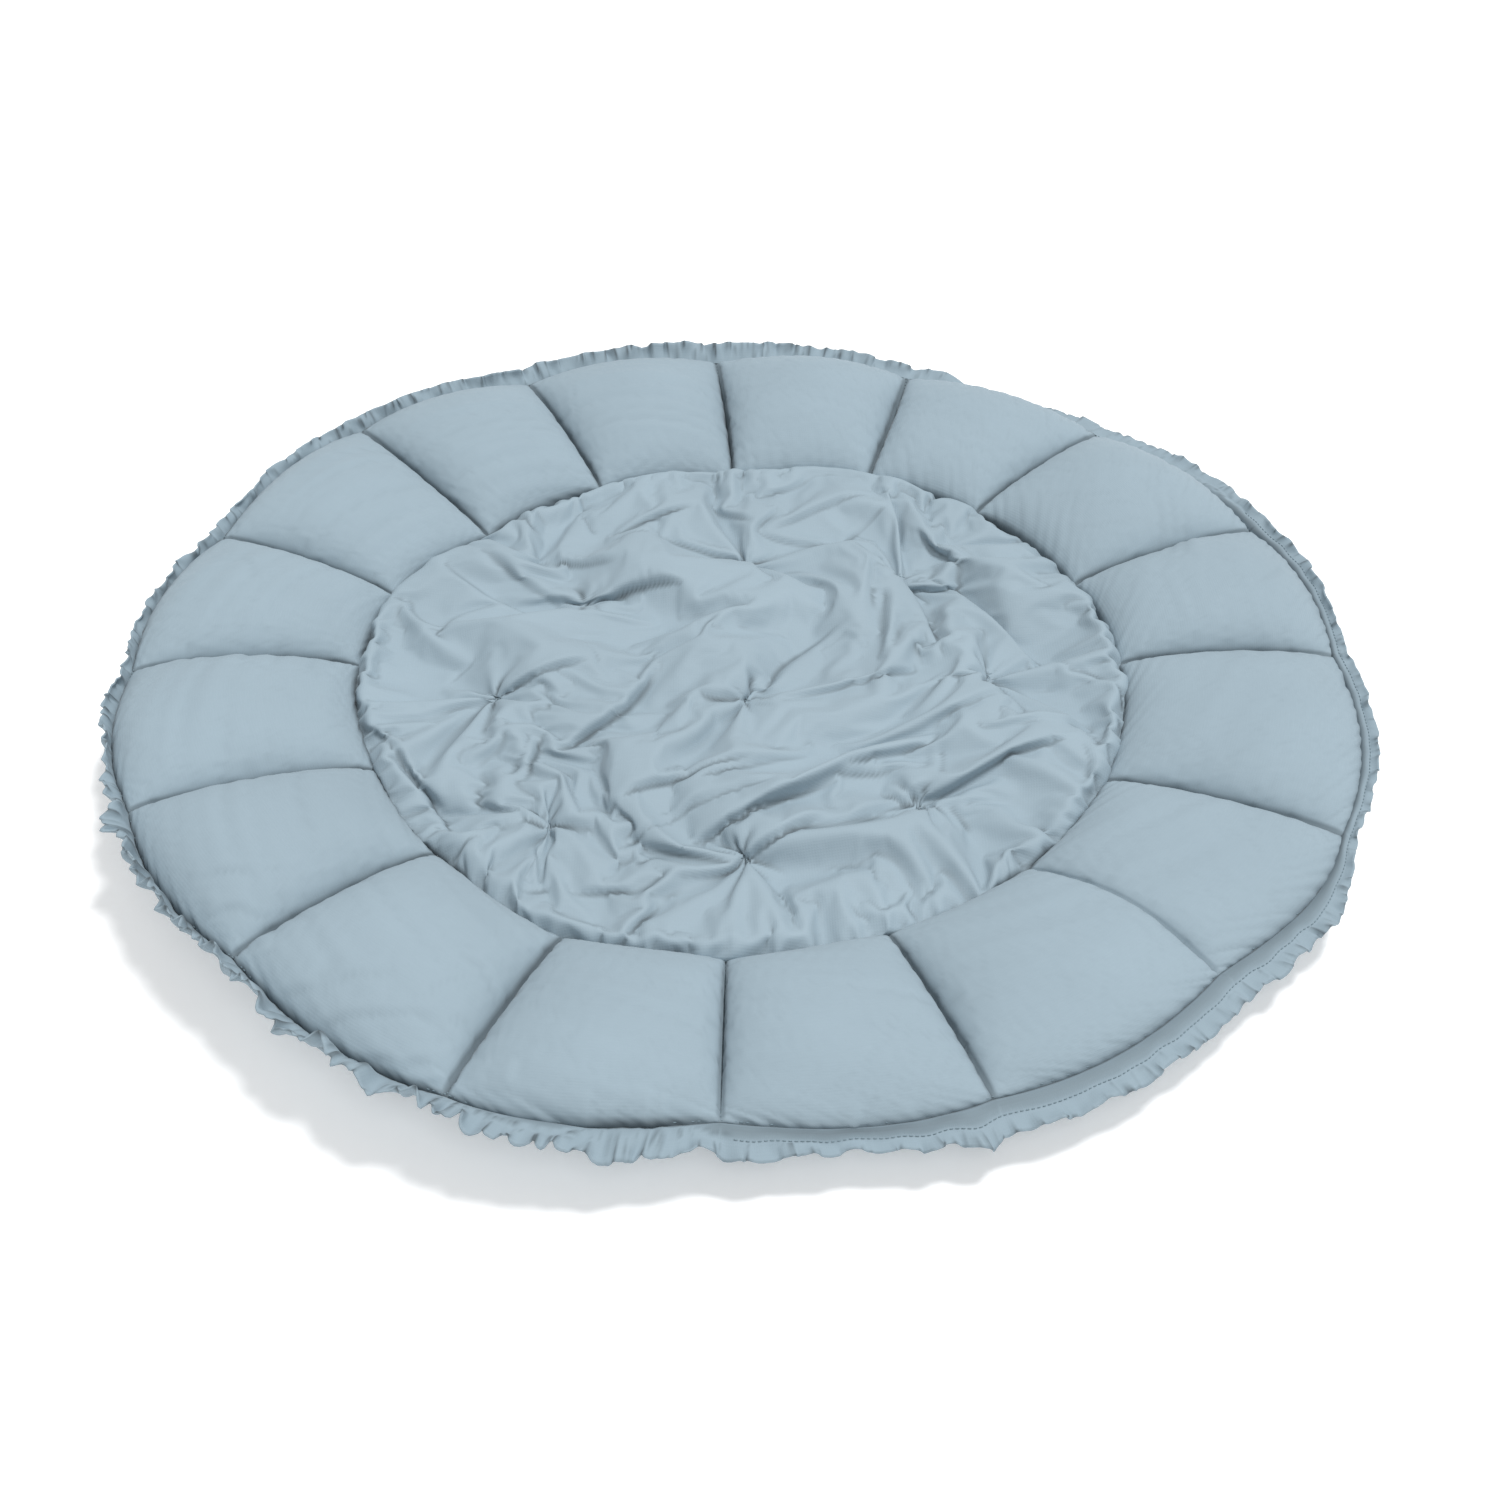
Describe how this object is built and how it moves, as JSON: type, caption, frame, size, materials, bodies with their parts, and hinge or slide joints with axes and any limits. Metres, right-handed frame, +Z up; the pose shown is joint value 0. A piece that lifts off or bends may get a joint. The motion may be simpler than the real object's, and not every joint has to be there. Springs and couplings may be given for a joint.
{
  "type": "padded baby play mat",
  "caption": "Round padded floor mat for a baby: a ring of crowned, stitched channels round a tied-down, wrinkled middle, with a gathered ruffle sewn into the rim.",
  "frame": {"origin": "middle of the mat's box on the surface that it lies on", "axes": "+Z up, +Y towards the back of the mat as pictured, +X to the right"},
  "size_m": [1.066, 1.0787, 0.0833],
  "materials": {
    "ring_cloth": "washed plain-weave cotton, dusty blue, matt",
    "centre_cloth": "washed plain-weave cotton, dusty blue, creased",
    "ruffle_cloth": "washed plain-weave cotton, dusty blue, gathered"
  },
  "bodies": {
    "root": {"ring_pad": "ring_cloth", "centre_pad": "centre_cloth", "ruffle": "ruffle_cloth"}
  },
  "joints": []
}
